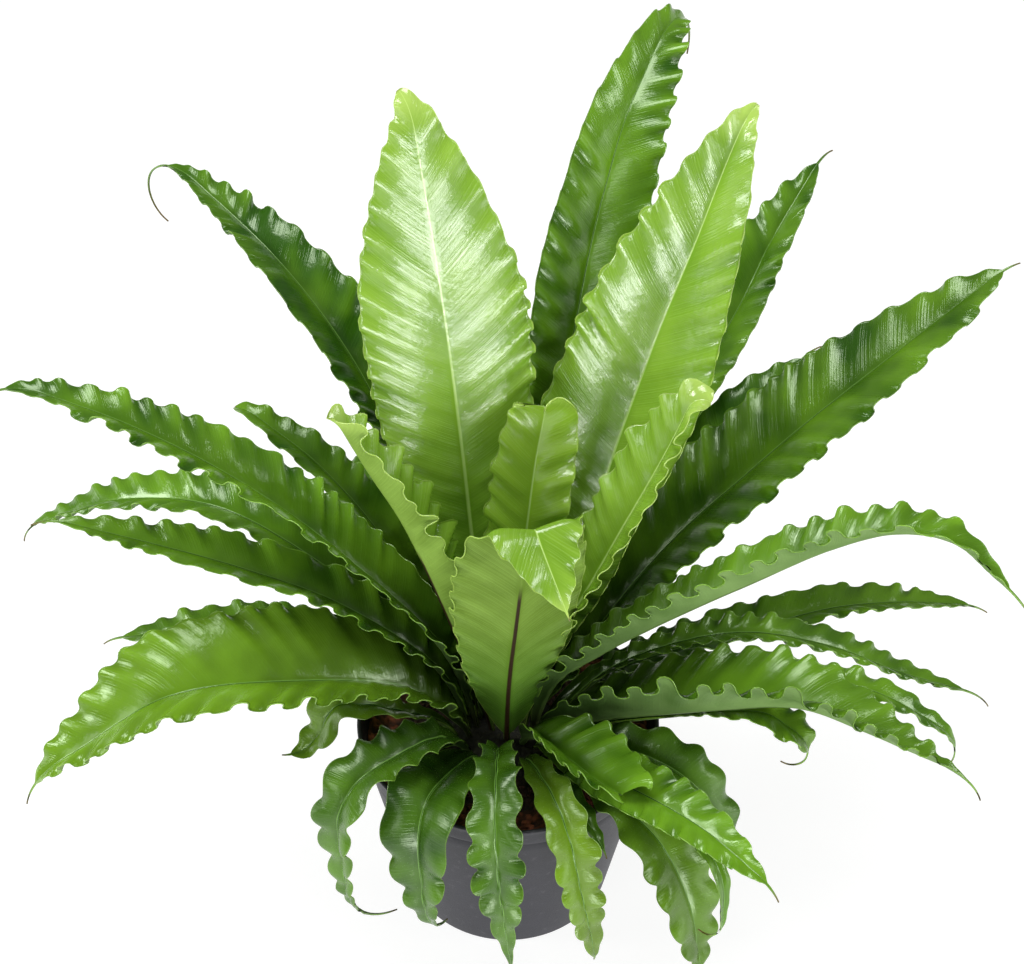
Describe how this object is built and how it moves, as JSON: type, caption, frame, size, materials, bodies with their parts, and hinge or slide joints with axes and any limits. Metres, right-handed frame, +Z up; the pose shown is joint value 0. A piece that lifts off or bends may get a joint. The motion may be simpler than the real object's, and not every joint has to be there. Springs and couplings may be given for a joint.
{
  "type": "potted bird's nest fern",
  "caption": "Potted rosette fern with long arching waved fronds rising from the soil of a round tapered pot.",
  "frame": {"origin": "centre of the pot's resting face", "axes": "+Z up the pot's axis, -Y towards the front as pictured, +X to the right of the picture"},
  "size_m": [0.6231, 0.4102, 0.55],
  "materials": {
    "pot": "matt moulded plastic, anthracite",
    "soil": "coarse dark red-brown potting fibre",
    "crown": "dark scaly rootstock",
    "young_frond": "soft satin yellow-green leaf",
    "frond": "glossy mid to dark green leaf"
  },
  "bodies": {
    "root": {"pot": "pot", "soil": "soil", "crown": "crown", "frond_01": "young_frond", "frond_02": "frond", "frond_03": "young_frond", "frond_04": "frond", "frond_05": "frond", "frond_06": "frond", "frond_07": "frond", "frond_08": "young_frond", "frond_09": "young_frond", "frond_10": "young_frond", "frond_11": "young_frond", "frond_12": "frond", "frond_13": "frond", "frond_14": "frond", "frond_15": "frond", "frond_16": "frond", "frond_17": "frond", "frond_18": "frond", "frond_19": "frond", "frond_20": "frond", "frond_21": "frond", "frond_22": "frond", "frond_23": "frond", "frond_24": "frond", "frond_25": "frond", "frond_26": "frond", "frond_27": "frond", "frond_28": "frond", "frond_29": "frond", "frond_30": "frond", "frond_31": "frond", "frond_32": "frond", "frond_33": "frond", "frond_34": "frond", "frond_35": "frond", "frond_36": "frond", "frond_37": "frond", "frond_38": "frond", "frond_39": "frond"}
  },
  "joints": []
}
